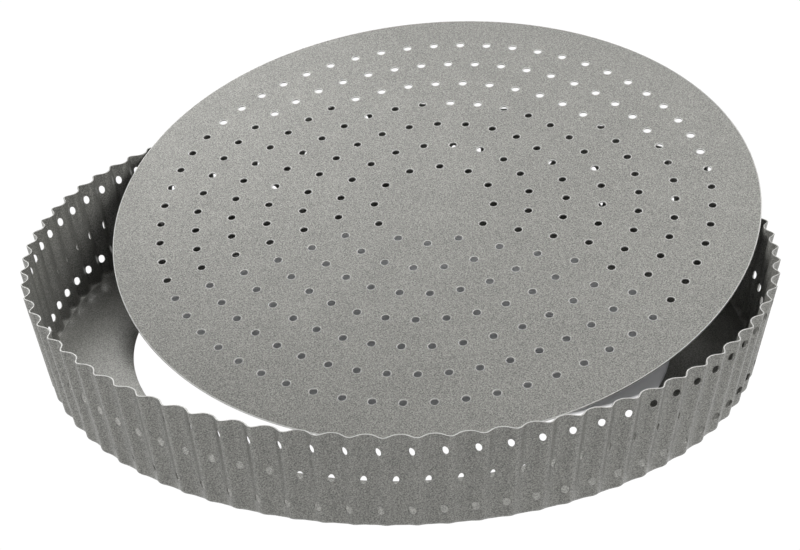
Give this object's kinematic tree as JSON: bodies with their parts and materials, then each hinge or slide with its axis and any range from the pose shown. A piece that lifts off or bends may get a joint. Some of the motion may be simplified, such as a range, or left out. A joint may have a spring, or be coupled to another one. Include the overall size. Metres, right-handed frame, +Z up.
{
  "type": "tart pan",
  "caption": "Round fluted tart pan: a flared, perforated ring with a flat inner ledge round an open bottom, and a loose perforated base that leans in the ring.",
  "frame": {"origin": "middle of the whole pan's footprint, on the table", "axes": "+Z up; +Y the way the leaning base rises, and the longest way across; +X to the right of that"},
  "size_m": [0.3002, 0.3276, 0.0718],
  "materials": {
    "ring_coating": "satin silver-grey non-stick coating with a fine metallic sparkle",
    "base_coating": "satin silver-grey non-stick coating with a fine metallic sparkle"
  },
  "bodies": {
    "ring": {"fluted_ring": "ring_coating"},
    "base": {"perforated_base": "base_coating"}
  },
  "joints": [
    {"name": "base_lift", "type": "slide", "parent": "ring", "child": "base", "axis": [0, 0, 1], "range_m": [0, 0.12]}
  ]
}
